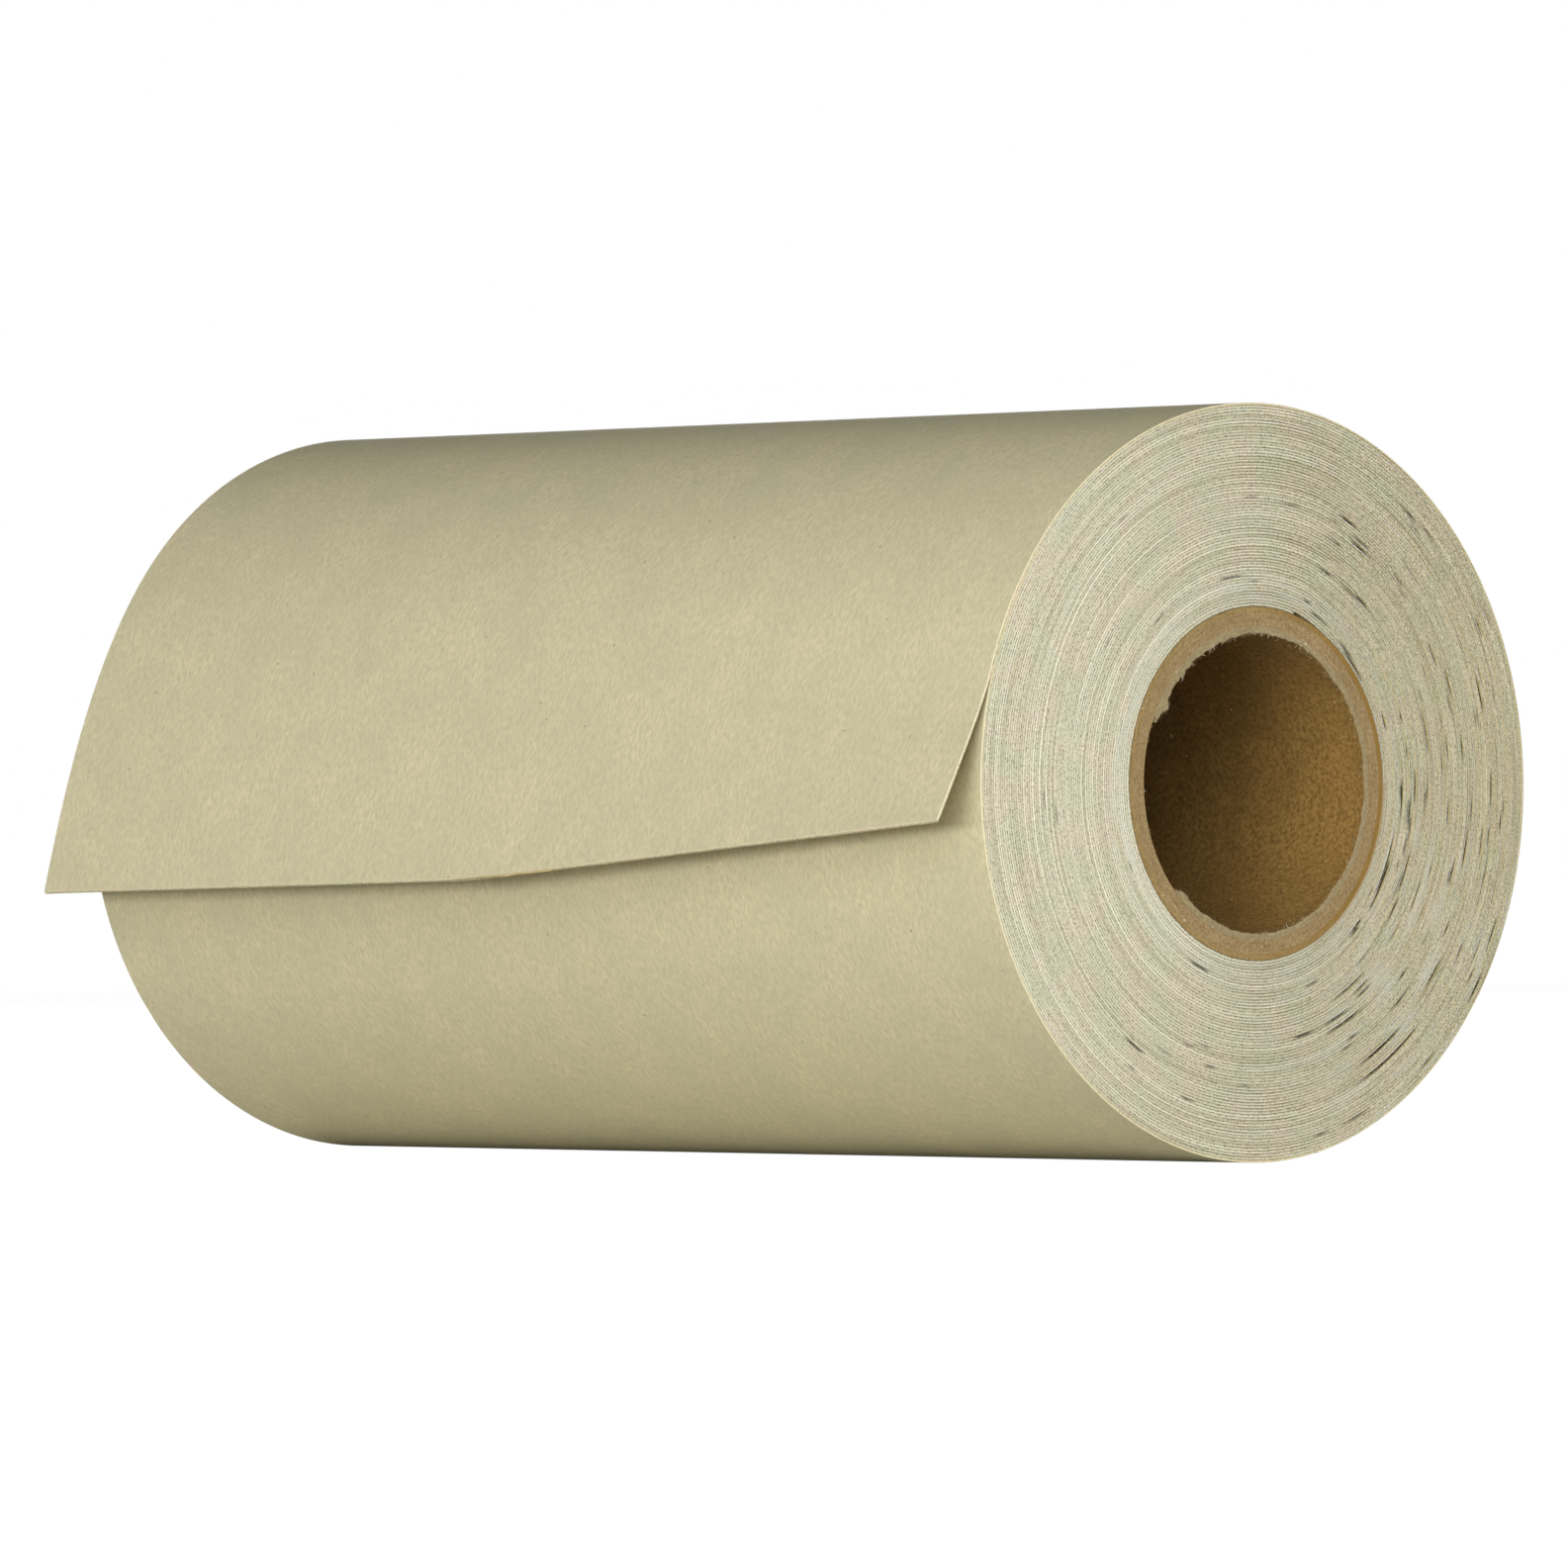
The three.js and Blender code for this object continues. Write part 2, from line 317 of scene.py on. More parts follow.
# tufts: which end, the middle angle, its spread, how many fibres, the longest in millimetres
tufts = (
    (1, 64, 24, 760, 0.62), (1, 140, 26, 180, 0.35), (1, 215, 25, 90, 0.35),
    (1, 285, 26, 170, 0.45), (1, TAB_ANGLE, 4, 60, 0.6), (1, -20, 25, 60, 0.35),
    (-1, 60, 120, 260, 0.6),
)
fringe_points, fringe_faces = [], []
for side, middle, spread, count, longest in tufts:
    for _ in range(count):
        angle = strands.gauss(middle, spread)
        x = side * (END - strands.uniform(0.06, 0.5))
        lip, torn = torn_edge(x, angle)
        if torn > 0.6:
            lip = -0.38
        radial = Vector(on_roll(0, 1, angle)) - Vector((0, 0, AXIS))
        along = Vector((0, -radial.z, radial.y))
        way = -radial + along * strands.gauss(0, 0.9)
        way += Vector((side * strands.gauss(-0.1, 0.5), 0, 0))
        fibre(
            fringe_points, fringe_faces, on_roll(x, BORE - lip + 0.05, angle), way,
            0.12 + longest * strands.random() ** 2.2, strands.uniform(0.016, 0.032),
            (strands.gauss(0, 0.7), strands.gauss(0, 0.7)),
        )
# single fibres: pale, and a little translucent-looking against the dark of the bore
loose_fibre = board("loose_kraft_fibre", "#e0d4b2", "#efe6cc", "#c3b48c", 0.3, 0.02)
fuzz = piece("core_torn_fibres", fringe_points, fringe_faces, [loose_fibre])
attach(fuzz, "roll")


# Wound strip: all the turns of paper under the last one, in one unbroken spiral. The slitting
# knife cut its edges, so both ends of the roll show fine rings of pale paper and darker glue.
PAPER = 0.235
ROLL = 31.8
CORE = 14.77
ROOT_ANGLE = 37.5
START_ANGLE = 107.0
WHOLE_TURNS = 67
TURNS = WHOLE_TURNS + (START_ANGLE - ROOT_ANGLE) / 360
# the share of a turn that the climb over the strip's starting edge takes
CLIMB = 15 / 360
PITCH = (ROLL - CORE) / (TURNS + 1)
# the slit edge from the paper's face to its glue side: share of the thickness, distance back
SLIT = ((0.0, 0.075), (0.12, 0.035), (0.5, 0.012), (0.88, 0.0), (1.0, 0.03))


def turn_radius(turned):
    """Outside radius after so many degrees of strip. Near the core each turn climbs in one short
    step, over the strip's starting edge; further out the climb evens out."""
    whole = int(turned // 360)
    share = turned / 360 - whole
    step = min(1.0, max(0.0, (share - 1 + CLIMB) / CLIMB))
    step = step * step * (3 - 2 * step)
    stepped = max(0.0, 1 - whole / WHOLE_TURNS)
    return CORE + PITCH * (1 + whole + share * (1 - stepped) + step * stepped)


def strip_end(place, radius, side):
    """How far a turn's edge stands back from the end of the roll: turns never line up exactly."""
    slow = noise(Vector((radius * 1.6, 7 * side, place / 900)))
    quick = noise(Vector((radius * 11, 19 * side, place / 60)))
    return 0.05 + 0.045 * slow + 0.035 * quick


# saturated paper: matt and warm, with a very fine grain, faint warm and cool mottling, a barely
# raised ripple across the strip, and here and there a speck in the pulp
def strip_paper():
    finish, tree, shader = finish_named("saturated_masking_paper", IOR=1.47)
    flat = add(tree, "Attribute", attribute_name="flat").outputs["Vector"]
    mottle = add(
        tree, "TexNoise", {"Vector": flat, "Scale": 1 / 7.0, "Detail": 5.0, "Roughness": 0.6},
    )
    warm = add(tree, "MapRange", {"Value": mottle.outputs[0], "From Min": 0.35, "From Max": 0.65})
    tint = add(
        tree, "Mix", {0: warm.outputs[0], 6: linear("#ddd7b1"), 7: linear("#ebe0b8")},
        data_type="RGBA",
    )
    # the real fibres are about 0.03 mm wide and are drawn at 0.26 mm, so that they show; they
    # lie mostly along the strip
    fibre_way = add(tree, "Mapping", {"Vector": flat, "Scale": (1 / 0.6, 1 / 0.26, 1.0)})
    grain = add(
        tree, "TexNoise",
        {"Vector": fibre_way.outputs[0], "Scale": 1.0, "Detail": 3.0, "Roughness": 0.6},
    )
    fine = add(tree, "MapRange", {"Value": grain.outputs[0], "From Min": 0.3, "From Max": 0.7})
    grained = add(
        tree, "Mix", {0: fine.outputs[0], 6: linear("#cec59f"), 7: tint.outputs[2]},
        data_type="RGBA",
    )
    pulp = add(tree, "TexVoronoi", {"Vector": flat, "Scale": 1 / 3.4})
    speck = add(
        tree, "MapRange",
        {"Value": pulp.outputs["Distance"], "From Min": 0.045, "From Max": 0.025, "To Max": 0.5},
    )
    specked = add(
        tree, "Mix", {0: speck.outputs[0], 6: grained.outputs[2], 7: linear("#7b6a48")},
        data_type="RGBA",
    )
    tree.links.new(specked.outputs[2], shader.inputs["Base Color"])
    ripple_way = add(tree, "Mapping", {"Vector": flat, "Scale": (1 / 0.5, 1 / 3.0, 1.0)})
    ripple = add(tree, "TexNoise", {"Vector": ripple_way.outputs[0], "Scale": 1.0, "Detail": 2.0})
    surface = add(
        tree, "Math", {0: ripple.outputs[0], 1: grain.outputs[0]}, operation="ADD",
    )
    relief = add(
        tree, "Bump", {"Height": surface.outputs[0], "Distance": 0.012 * MM, "Strength": 0.8},
    )
    tree.links.new(relief.outputs[0], shader.inputs["Normal"])
    rough = add(tree, "MapRange", {"Value": grain.outputs[0], "To Min": 0.62, "To Max": 0.86})
    tree.links.new(rough.outputs[0], shader.inputs["Roughness"])
    return finish


# slit paper edges: a fine bright line for each turn's paper face, which keeps its tone a long
# way round, and rough, darker fibre and glue between the lines, with painted shade in the seams
# that stand open, grey rub marks, black dashes and a glue stain where they are stored
def slit_edges(name, bright, dull, between, hollow):
    finish, tree, shader = finish_named(name, IOR=1.45)
    flat = add(tree, "Attribute", attribute_name="flat").outputs["Vector"]
    marks = add(tree, "Attribute", attribute_name="marks").outputs["Vector"]
    mark = add(tree, "SeparateXYZ", {0: marks}).outputs
    through = add(tree, "SeparateXYZ", {0: flat}).outputs[2]
    where = add(tree, "TexCoord").outputs["Object"]
    # cut fibre ends of about 0.05 mm, drawn at 0.2 mm so that they show
    grain = add(
        tree, "TexNoise",
        {"Vector": where, "Scale": 1 / (0.2 * MM), "Detail": 4.0, "Roughness": 0.7},
    )
    pitted = add(
        tree, "MapRange", {"Value": grain.outputs[0], "From Min": 0.38, "From Max": 0.56},
    )
    rough_cut = add(
        tree, "Mix", {0: pitted.outputs[0], 6: linear(hollow), 7: linear(between)},
        data_type="RGBA",
    )
    # one tone for each stretch of each turn: places along the strip lie far apart in the noise
    stretch = add(tree, "Mapping", {"Vector": flat, "Scale": (1 / 38.0, 0.0, 0.0)})
    tone = add(tree, "TexNoise", {"Vector": stretch.outputs[0], "Scale": 1.0, "Detail": 1.0})
    pale = add(tree, "MapRange", {"Value": tone.outputs[0], "From Min": 0.36, "From Max": 0.64})
    ring = add(
        tree, "Mix", {0: pale.outputs[0], 6: linear(dull), 7: linear(bright)}, data_type="RGBA",
    )
    face = add(tree, "MapRange", {"Value": through, "From Min": 0.11, "From Max": 0.16})
    nicked = add(
        tree, "MapRange",
        {"Value": grain.outputs[0], "From Min": 0.3, "From Max": 0.45, "To Min": 0.45},
    )
    line = add(tree, "Math", {0: face.outputs[0], 1: nicked.outputs[0]}, operation="MULTIPLY")
    lined = add(
        tree, "Mix", {0: line.outputs[0], 6: rough_cut.outputs[2], 7: ring.outputs[2]},
        data_type="RGBA",
    )
    # the seam between turns, at the glue side, stands open on some stretches only; there it is
    # painted dark, partly the darker glue and partly painted shade in the gap
    spread = add(
        tree, "Mapping",
        {"Vector": flat, "Scale": (1 / 16.0, 0.0, 0.0), "Location": (31, 0, 0)},
    )
    strong = add(tree, "TexNoise", {"Vector": spread.outputs[0], "Scale": 1.0, "Detail": 2.0})
    amount = add(
        tree, "MapRange",
        {"Value": strong.outputs[0], "From Min": 0.42, "From Max": 0.66, "To Max": 0.8},
    )
    # and, less and less, on the first ten turns or so, with the same painted shade in their open
    # seams
    along = add(tree, "SeparateXYZ", {0: flat}).outputs[0]
    slack = add(
        tree, "MapRange",
        {"Value": along, "From Min": 250.0, "From Max": 1000.0, "To Min": 0.45, "To Max": 0.0},
    )
    opened = add(tree, "Math", {0: amount.outputs[0], 1: slack.outputs[0]}, operation="MAXIMUM")
    # painted shade: the dark olive #5c5942 on the glue side of each turn stands partly for the
    # darker glue and partly for the shade in the open seam between turns
    seam = add(tree, "MapRange", {"Value": through, "From Min": 0.08, "From Max": 0.03})
    glue = add(tree, "Math", {0: seam.outputs[0], 1: opened.outputs[0]}, operation="MULTIPLY")
    glue_and_gap_shade = add(
        tree, "Mix", {0: glue.outputs[0], 6: lined.outputs[2], 7: linear("#5c5942")},
        data_type="RGBA",
    )
    # faint greenish and pinkish patches a few millimetres across
    patch = add(tree, "TexNoise", {"Vector": where, "Scale": 1 / (3.2 * MM), "Detail": 2.0})
    cool = add(tree, "MapRange", {"Value": patch.outputs[0], "From Min": 0.38, "From Max": 0.62})
    wash = add(
        tree, "Mix", {0: cool.outputs[0], 6: linear("#f7faf1"), 7: linear("#fff9f3")},
        data_type="RGBA",
    )
    washed = add(
        tree, "Mix", {0: 1.0, 6: glue_and_gap_shade.outputs[2], 7: wash.outputs[2]},
        data_type="RGBA", blend_type="MULTIPLY",
    )
    rubbed = add(tree, "Math", {0: mark[2], 1: 0.5}, operation="MULTIPLY")
    smudged = add(
        tree, "Mix", {0: rubbed.outputs[0], 6: washed.outputs[2], 7: linear("#dcdfd4")},
        data_type="RGBA",
    )
    stained = add(
        tree, "Mix", {0: mark[1], 6: smudged.outputs[2], 7: linear("#b08e4e")},
        data_type="RGBA",
    )
    # a dash fills nearly the whole thickness, and fades at the paper face
    filled = add(tree, "MapRange", {"Value": through, "From Min": 0.24, "From Max": 0.2})
    ragged = add(
        tree, "MapRange",
        {"Value": grain.outputs[0], "From Min": 0.66, "From Max": 0.52, "To Min": 0.55},
    )
    inside = add(
        tree, "Math", {0: filled.outputs[0], 1: ragged.outputs[0]}, operation="MULTIPLY",
    )
    dash = add(tree, "Math", {0: mark[0], 1: inside.outputs[0]}, operation="MULTIPLY")
    inked = add(
        tree, "Mix", {0: dash.outputs[0], 6: stained.outputs[2], 7: linear("#1b1c17")},
        data_type="RGBA",
    )
    tree.links.new(inked.outputs[2], shader.inputs["Base Color"])
    relief = add(
        tree, "Bump", {"Height": grain.outputs[0], "Distance": 0.03 * MM, "Strength": 0.8},
    )
    tree.links.new(relief.outputs[0], shader.inputs["Normal"])
    rough = add(tree, "MapRange", {"Value": grain.outputs[0], "To Min": 0.95, "To Max": 0.75})
    tree.links.new(rough.outputs[0], shader.inputs["Roughness"])
    return finish


# rubber-resin glue on the strip's inner side: a thin, slightly yellow coat with a soft gloss
def glue_side():
    finish, tree, shader = finish_named("rubber_glue_coat", IOR=1.52)
    flat = add(tree, "Attribute", attribute_name="flat").outputs["Vector"]
    coat = add(tree, "TexNoise", {"Vector": flat, "Scale": 1 / 1.4, "Detail": 4.0})
    thick = add(tree, "MapRange", {"Value": coat.outputs[0], "From Min": 0.35, "From Max": 0.65})
    colour = add(
        tree, "Mix", {0: thick.outputs[0], 6: linear("#dccb93"), 7: linear("#cfba7c")},
        data_type="RGBA",
    )
    tree.links.new(colour.outputs[2], shader.inputs["Base Color"])
    rough = add(tree, "MapRange", {"Value": coat.outputs[0], "To Min": 0.28, "To Max": 0.5})
    tree.links.new(rough.outputs[0], shader.inputs["Roughness"])
    relief = add(
        tree, "Bump", {"Height": coat.outputs[0], "Distance": 0.02 * MM, "Strength": 0.7},
    )
    tree.links.new(relief.outputs[0], shader.inputs["Normal"])
    return finish


paper = strip_paper()
glue_coat = glue_side()
wound_edges = slit_edges("slit_paper_edges", "#fffdf0", "#cdc8ad", "#dfdac2", "#868168")
INKED_FROM, INKED_TO = 15.5, 31.0

# dark dashes on the right-hand edge: radius, angle, length in millimetres, strength
dashes = [
    (15.5, 139, 3.4, 1.0), (15.8, 134, 2.4, 0.8), (15.9, 118, 2.2, 0.8), (23.5, 122, 3.0, 0.9),
    (23.9, 121, 2.4, 0.7), (19.7, 115, 1.4, 0.9), (29.2, 128, 1.6, 0.9), (28.8, 140, 1.3, 0.9),
    (24.5, 159, 2.0, 0.9), (27.6, 164, 2.8, 1.0), (20.6, 170, 1.8, 0.8), (24.7, 173, 2.2, 1.0),
    (28.0, 181, 3.2, 1.0), (19.0, 181, 2.6, 1.0), (17.4, 184, 3.0, 1.0), (17.0, 204, 5.2, 1.0),
    (17.3, 209, 4.4, 1.0), (17.1, 215, 2.0, 0.9), (19.2, 202, 2.8, 0.9), (25.5, 193, 3.2, 1.0),
    (28.3, 197, 1.4, 0.8), (17.0, 226, 1.9, 1.0), (17.3, 227, 1.5, 1.0), (25.8, 208, 1.4, 1.0),
    (26.5, 218, 2.6, 1.0), (23.8, 223, 1.3, 0.9), (27.9, 236, 9.0, 1.0), (26.6, 237, 6.0, 1.0),
    (22.6, 243, 5.0, 0.9), (21.9, 245, 3.6, 0.8), (20.4, 238, 4.6, 0.7), (30.7, 205, 3.0, 0.9),
    (31.1, 214, 2.4, 0.9), (18.6, 192, 2.2, 0.8), (21.2, 205, 1.8, 0.8), (22.9, 186, 2.0, 0.7),
]
inker = random.Random(23)
for _ in range(90):
    here = inker.gauss(190, 48)
    size = inker.random() ** 2
    radius = inker.uniform(INKED_FROM, INKED_TO)
    dashes.append((radius, here, 0.6 + 2.4 * size, 0.45 + 0.5 * inker.random()))
for _ in range(20):
    radius = inker.uniform(INKED_FROM, INKED_TO)
    dashes.append((radius, inker.uniform(0, 360), inker.uniform(0.6, 1.6), 0.5))

spans = {}
for radius, angle, length, strength in dashes:
    turned = ((radius - CORE) / PITCH - 1) * 360
    turned += (START_ANGLE - angle - turned + 180) % 360 - 180
    spans.setdefault(int(turned // 360), []).append((turned, length / radius / 2, strength))


def edge_marks(turned, radius, angle):
    """Ink, glue stain and grey rub at a place on the right-hand slit edge."""
    ink = 0.0
    whole = int(turned // 360)
    for near in (whole - 1, whole, whole + 1):
        for middle, half, strength in spans.get(near, ()):
            off = abs(math.radians(turned - middle)) / half
            ink = max(ink, strength * min(1.0, max(0.0, 2.2 - 2 * off)))
    here = (angle + 180) % 360
    stain = min(1.0, 1.3 * max(0.0, 1 - (turned / 360) / 1.5))
    stain *= math.exp(-(((here - 5) / 62) ** 2))
    by_core = 0.3 + 0.9 * noise(Vector((radius * 2.2, here / 14, 3)))
    by_core *= math.exp(-(((radius - 16.2) / 1.3) ** 2))
    low_at_back = max(0.0, 0.15 + 1.3 * noise(Vector((radius * 0.9, here / 11, 9))))
    low_at_back *= math.exp(-(((here - 45) / 40) ** 2))
    return ink, stain, min(1.0, max(0.0, by_core, low_at_back))


def strip_ring(turned, columns):
    """One closed section of the strip on the roll, with its flat place and marks."""
    radius = turn_radius(turned)
    angle = START_ANGLE - turned
    place = math.radians(turned) * (CORE + radius) / 2
    ring, flat, marks = [], [], []

    def point(x, share, mark):
        ring.append(on_roll(x, radius - PAPER * share, angle))
        flat.append((place, x, PAPER * (1 - share)))
        marks.append(mark)

    ends = {side: END - strip_end(place, radius, side) for side in (-1, 1)}
    right = edge_marks(turned, radius, angle)
    ends[1] -= 0.12 * right[0]
    for x in columns:
        point(x, 0.0, (0, 0, 0))
    for share, back in SLIT:
        point(ends[1] - back, share, right)
    for x in reversed(columns):
        point(x, 1.0, (0, 0, 0))
    for share, back in reversed(SLIT):
        point(back - ends[-1], share, (0, 0, right[2] * 0.6))
    return ring, flat, marks


def strip_piece(name, sections, columns, edges):
    """A stretch of strip: paper face outside, glue inside, slit edges and closed ends."""
    rings = [section[0] for section in sections]
    points, faces = skinned(rings)
    count, wide, slit = len(rings[0]), len(columns), len(SLIT)
    sides = []
    for i in range(count):
        if i < wide or i == count - 1:
            sides.append(0)
        elif wide <= i < wide + slit - 1:
            sides.append(1)
        elif i < 2 * wide + slit:
            sides.append(2)
        else:
            sides.append(1)
    kinds = [sides[i % count] for i in range(len(faces) - 2)] + [1, 1]
    stored = [[value for section in sections for value in section[k]] for k in (1, 2)]
    return piece(
        name, points, faces, [paper, edges, glue_coat], kinds, flat=stored[0], marks=stored[1],
    )


ROOT_TURNED = TURNS * 360
LAST_STARTS = ROOT_TURNED - 360
STEPS_A_TURN = 150
steps = int(LAST_STARTS / 360 * STEPS_A_TURN)
sections = [strip_ring(LAST_STARTS * i / steps, []) for i in range(steps + 1)]
wound = strip_piece("wound_strip", sections, [], wound_edges)
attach(wound, "roll")
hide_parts("wound_turns")


# Last turn: the outermost whole turn of the same strip, the one whose paper face is seen all
# round the roll. It runs on into the leader, so its grain and specks run on too.
ROOT_LAP = 4.1
# clean slit edge: cleaner and creamier than the edges of the wound turns under it
rim_edges = slit_edges("clean_slit_edge", "#f6eed2", "#e9e1c0", "#e2dab8", "#b0a884")
WIDE = [-40, -20, 0, 20, 40]
LAST_STEPS = 420
whole_turn = 360 - math.degrees(ROOT_LAP / ROLL)
sections = [
    strip_ring(LAST_STARTS + whole_turn * i / LAST_STEPS, WIDE) for i in range(LAST_STEPS + 1)
]
last_turn = strip_piece("last_turn_paper", sections, WIDE, rim_edges)
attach(last_turn, "roll")
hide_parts("outer_turn")


# Leader: the strip's free end, 25 to 30 mm long. It has sprung off the roll and hangs from its
# root: steep at the left end, where it stands clear, and close to the roll at the right end.
LEFT_END = {"leaves": 37.5, "hangs": 9.45, "easing": 17.0}
RIGHT_END = {"leaves": 17.9, "hangs": 28.4, "easing": 3.0}
FREE_LEFT, FREE_MIDDLE, FREE_RIGHT = 30.5, 29.65, 25.1
MIDDLE_HINGE, TIP_HINGE = 8.29, 17.5
CUT_SLANT = 0.2
STEP = 0.25


def leader_line(x):
    """The middle of the leader's thickness at x, down from its root, with the slope there."""
    share = x / (2 * END) + 0.5
    leaves, hangs, easing = (
        LEFT_END[k] + (RIGHT_END[k] - LEFT_END[k]) * share for k in ("leaves", "hangs", "easing")
    )
    radius = ROLL - PAPER / 2
    lying = radius * math.radians(ROOT_ANGLE - leaves)
    root = math.radians(ROOT_ANGLE)
    y, z = -radius * math.cos(root), AXIS + radius * math.sin(root)
    line = []
    down = 0.0
    while down < 31:
        slope = ROOT_ANGLE - math.degrees(down / radius)
        if down >= lying:
            slope = hangs + (leaves - hangs) * math.exp(-(down - lying) / easing)
        line.append((y, z, slope))
        y -= math.sin(math.radians(slope)) * STEP
        z -= math.cos(math.radians(slope)) * STEP
        down += STEP
    return line


def free_edge(x):
    """Length of the leader at x: its cut edge is two nearly straight pulls of the knife."""
    share = abs(x) / END
    end = FREE_LEFT if x < 0 else FREE_RIGHT
    waver = 0.05 * noise(Vector((x / 4, 2, 5))) + 0.03 * noise(Vector((x * 1.7, 8, 1)))
    return FREE_MIDDLE + (end - FREE_MIDDLE) * share + waver


COLUMNS = [-57.2] + [-55 + 2.5 * i for i in range(45)] + [57.2]
LINES = {}


def leader_point(x, down, depth):
    """A place on the leader: so far down from the root, depth in from its paper face."""
    key = round(x, 3)
    if down <= 0:
        turned = ROOT_TURNED + math.degrees(down / ROLL)
        return on_roll(x, turn_radius(turned) - depth, START_ANGLE - turned)
    if key not in LINES:
        LINES[key] = leader_line(x)
    line = LINES[key]
    at = min(int(down / STEP), len(line) - 2)
    part = down / STEP - at
    y, z, slope = (line[at][k] + (line[at + 1][k] - line[at][k]) * part for k in range(3))
    out = PAPER / 2 - depth
    turn = math.radians(slope)
    return (x, y - math.cos(turn) * out, z + math.sin(turn) * out)


def leader_ring(down, share_down=None):
    """One closed section across the leader; share_down stretches it to the free edge."""
    ring, flat, marks = [], [], []

    def point(x, share):
        here = down
        if share_down is not None:
            # the knife came down on a slant, so the cut face can be seen from the front
            here += (free_edge(x) - down) * share_down
            here += CUT_SLANT * (share - 0.5) * share_down ** 40
        ring.append(leader_point(x, here, PAPER * share))
        flat.append((place_at_root + here, x, PAPER * (1 - share)))
        marks.append((0, 0, 0))

    for x in COLUMNS:
        point(x, 0.0)
    ends = {side: END - strip_end(place_at_root + min(down, 0), ROLL, side) for side in (-1, 1)}
    for share, back in SLIT:
        point(ends[1] - back, share)
    for x in reversed(COLUMNS):
        point(x, 1.0)
    for share, back in reversed(SLIT):
        point(back - ends[-1], share)
    return ring, flat, marks


place_at_root = math.radians(ROOT_TURNED) * (CORE + ROLL) / 2
MIDDLE_STARTS, TIP_STARTS = 4.1, 12.5
# each length: where it starts and stops, the bodies above and below its hinge, the hinge, and
# how far before and after it the paper would bend. Above the middle hinge the paper lies so close
# to the roll that a longer bend there would press it in. The ends of each bend are worked out
# but not used: the lengths are not attached to their bodies and do not bend; each only hides the
# imported part named for its body below.
lengths_of_leader = (
    ("leader_root_paper", -ROOT_LAP, MIDDLE_STARTS, "roll", "leader_root", 0.0, 3.6, 3.6),
    (
        "leader_middle_paper", MIDDLE_STARTS, TIP_STARTS, "leader_root", "leader_middle",
        MIDDLE_HINGE, 1.0, 3.4,
    ),
    ("leader_tip_paper", TIP_STARTS, None, "leader_middle", "leader_tip", TIP_HINGE, 4.4, 4.4),
)
for name, start, stop, above, below, hinge, before, after in lengths_of_leader:
    if stop is None:
        sections = [leader_ring(start, i / 64) for i in range(65)]
    else:
        count = round((stop - start) / STEP)
        sections = [leader_ring(start + (stop - start) * i / count) for i in range(count + 1)]
    part_of_leader = strip_piece(name, sections, COLUMNS, rim_edges)
    blend_from = Vector(leader_point(0, hinge - before, PAPER / 2)) * MM
    blend_to = Vector(leader_point(0, hinge + after, PAPER / 2)) * MM
    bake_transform(part_of_leader)
    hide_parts(below)


# Stray fibre: one loose paper fibre on the slit edge, low on the right-hand end. It has the
# same finish as the torn fibres of the core.
points, faces = [], []
fibre(
    points, faces, on_roll(END - 0.12, 31.2, 259), (0.1, 0.55, -0.35), 1.5, 0.035, (0.12, 0.05), 8,
)
stray = piece("stray_paper_fibre", points, faces, [loose_fibre])
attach(stray, "roll")


# Floor and light: a plain white sweep, low softboxes in front, at the right and behind, and a
# sky that is paler near the horizon than overhead, so the roll is brightest where it faces
# forward. One higher box in front spreads the leader's shadow down the roll.
SWEEP, SIDES = 1500, 64
points = [(0, 0, 0)]
for i in range(SIDES):
    turn = math.tau * i / SIDES
    points.append((SWEEP * math.cos(turn), SWEEP * math.sin(turn), 0))
faces = [(0, i + 1, (i + 1) % SIDES + 1) for i in range(SIDES)]
sweep, tree, shader = finish_named("matt_white_sweep", Roughness=0.9)
where = add(tree, "TexCoord").outputs["Object"]
dust = add(tree, "TexNoise", {"Vector": where, "Scale": 12.0, "Detail": 3.0})
even = add(
    tree, "Mix", {0: dust.outputs[0], 6: linear("#dededc"), 7: linear("#e6e6e4")},
    data_type="RGBA",
)
tree.links.new(even.outputs[2], shader.inputs["Base Color"])
lit = add(tree, "Emission", {"Strength": 1.13})
seen = add(tree, "LightPath").outputs["Is Camera Ray"]
part = add(tree, "Math", {0: seen, 1: 0.86}, operation="MULTIPLY")
both = add(tree, "MixShader", {0: part.outputs[0], 1: shader.outputs[0], 2: lit.outputs[0]})
output = [n for n in tree.nodes if n.type == "OUTPUT_MATERIAL"][0]
tree.links.new(both.outputs[0], output.inputs["Surface"])
floor = piece("floor", points, faces, [sweep])

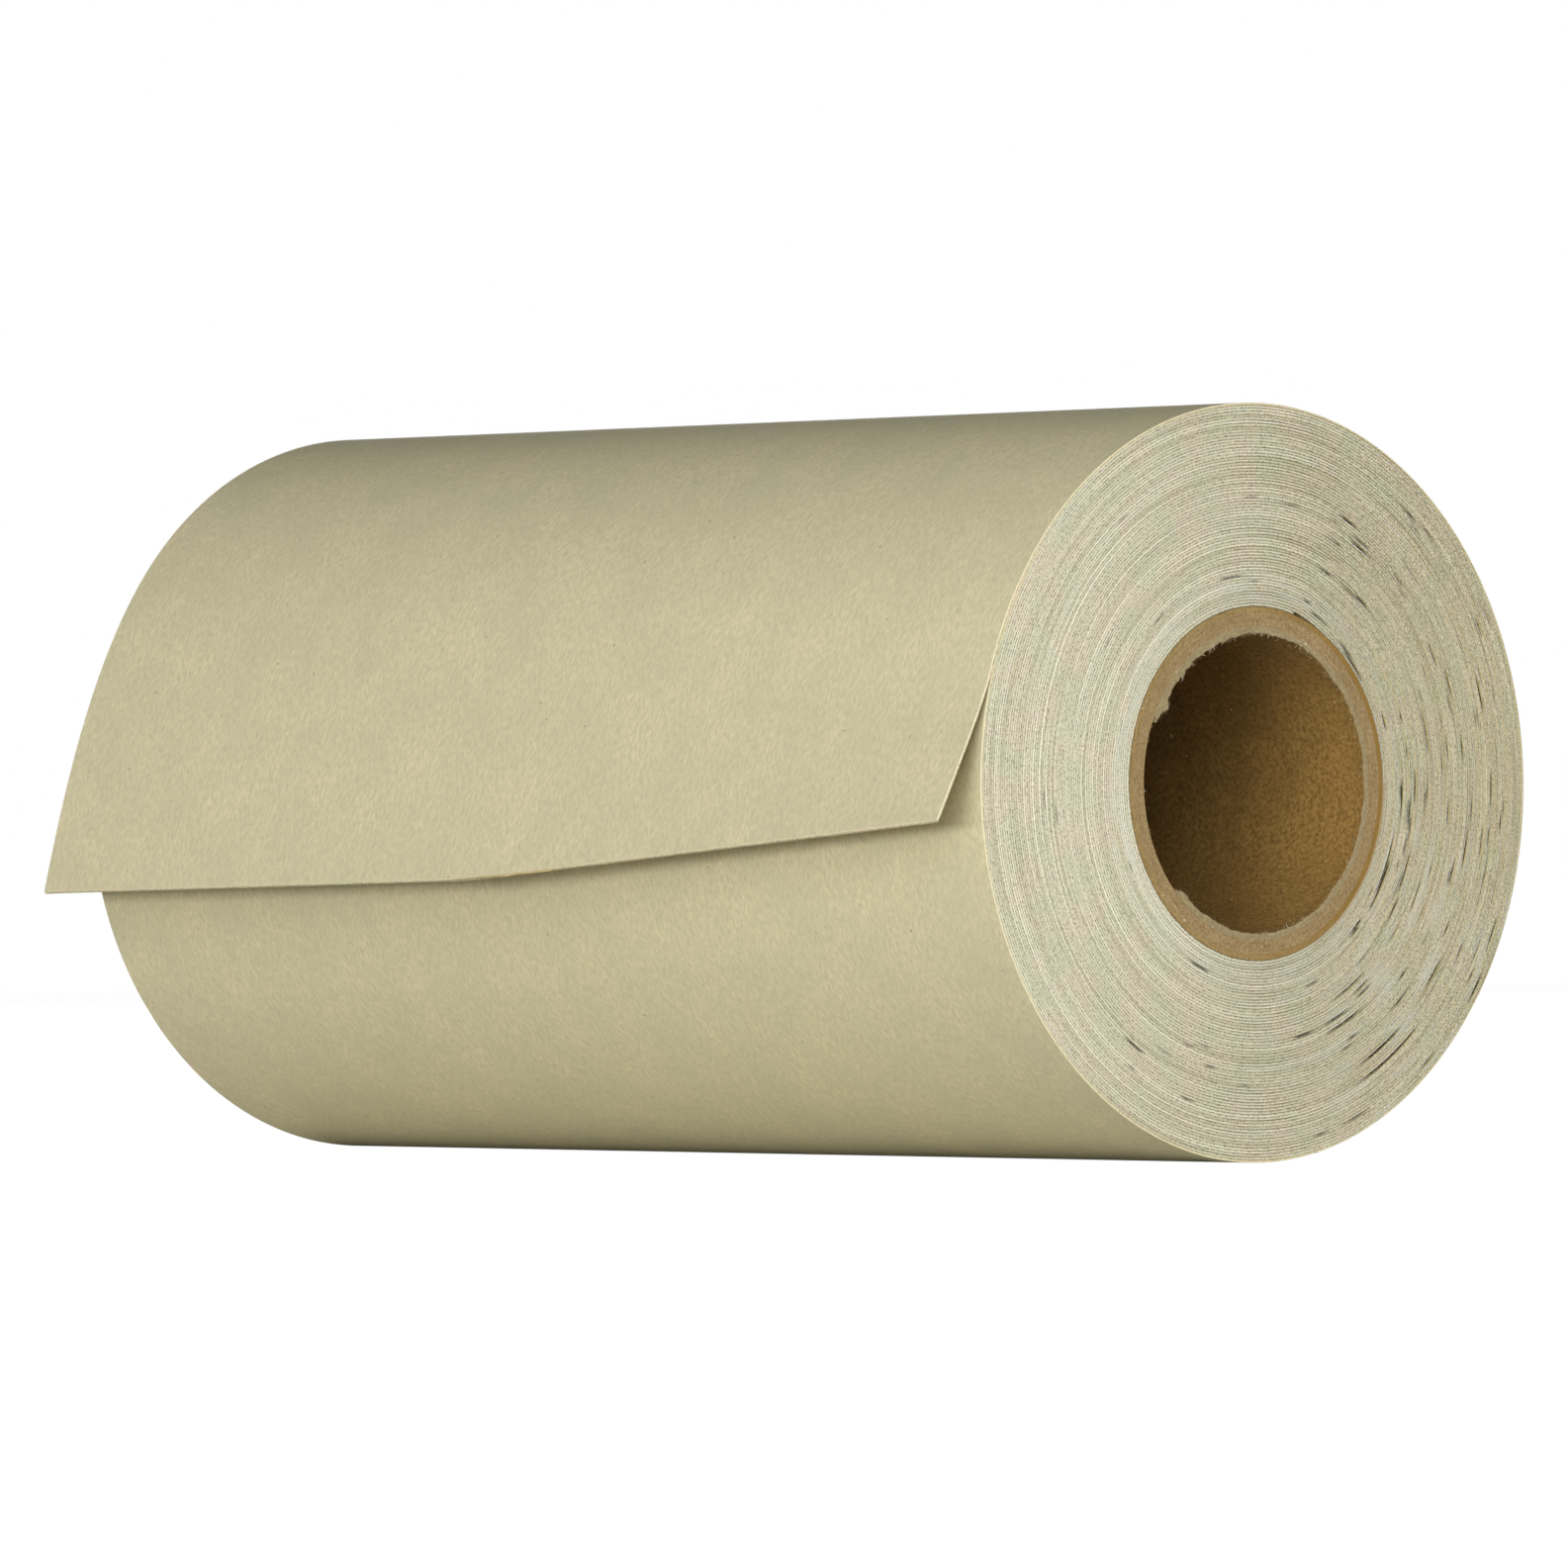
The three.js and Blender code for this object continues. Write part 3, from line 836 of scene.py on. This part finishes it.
sky = bpy.data.worlds.new("soft_studio")
bpy.context.scene.world = sky
sky.use_nodes = True
tree = sky.node_tree
tree.nodes.clear()
way = add(tree, "TexCoord").outputs["Generated"]
height = add(tree, "SeparateXYZ", {0: way}).outputs[2]
level = add(tree, "MapRange", {"Value": height, "From Max": 0.9, "To Min": 0.08, "To Max": 0.045})
room = add(tree, "Background", {"Color": (1, 0.99, 0.97, 1), "Strength": level.outputs[0]})
paper_white = add(tree, "Background", {"Color": (1, 1, 1, 1)})
seen = add(tree, "LightPath").outputs["Is Camera Ray"]
both = add(tree, "MixShader", {0: seen, 1: room.outputs[0], 2: paper_white.outputs[0]})
add(tree, "OutputWorld", {"Surface": both.outputs[0]})

aim = Vector((31.0, -29.3, 31.8)) * MM
AWAY = 1.3
# softboxes: degrees round from the front towards +X, degrees up, width and height in metres,
# watts; left and right in their names are as the camera sees them
softboxes = (
    ("front_left_softbox", 17.0, 3.5, 0.7, 0.2, 6.4),
    ("front_high_softbox", 38.0, 25.0, 0.8, 0.5, 4.7),
    ("front_softbox", 40.0, 7.0, 0.5, 0.28, 3.2),
    ("front_right_softbox", 88.0, 5.0, 0.7, 0.2, 6.6),
    ("back_right_softbox", 200.0, 6.0, 0.7, 0.24, 6.0),
    ("back_left_softbox", 232.0, 6.0, 0.7, 0.24, 6.0),
)
for name, degrees, up, wide, high, power in softboxes:
    lamp = bpy.data.lights.new(name, "AREA")
    lamp.shape, lamp.size, lamp.size_y, lamp.energy = "RECTANGLE", wide, high, power
    turn, rise = math.radians(degrees), math.radians(up)
    reach = math.cos(rise)
    back = Vector((math.sin(turn) * reach, -math.cos(turn) * reach, math.sin(rise)))
    box = bpy.data.objects.new(name, lamp)
    box.location = aim + back * AWAY
    box.rotation_euler = back.to_track_quat("Z", "Y").to_euler()
    box.visible_camera = False
    bpy.context.collection.objects.link(box)

bpy.context.scene.view_settings.view_transform = "Standard"

# Camera: a long lens about 1.1 m off, to the front right, so that the far end looks only a
# little smaller. It is just below the roll's axis, nearly level, and leans by 0.3 of a degree.
eye = bpy.data.objects.new("camera", bpy.data.cameras.new("camera"))
eye.data.lens = 304.5
eye.data.sensor_width = 36
eye.location = Vector((848.9, -773.7, 25.4)) * MM
look = (aim - eye.location).to_track_quat("-Z", "Y")
eye.rotation_euler = (look @ Quaternion((0, 0, 1), -0.0053)).to_euler()
bpy.context.collection.objects.link(eye)
bpy.context.scene.camera = eye
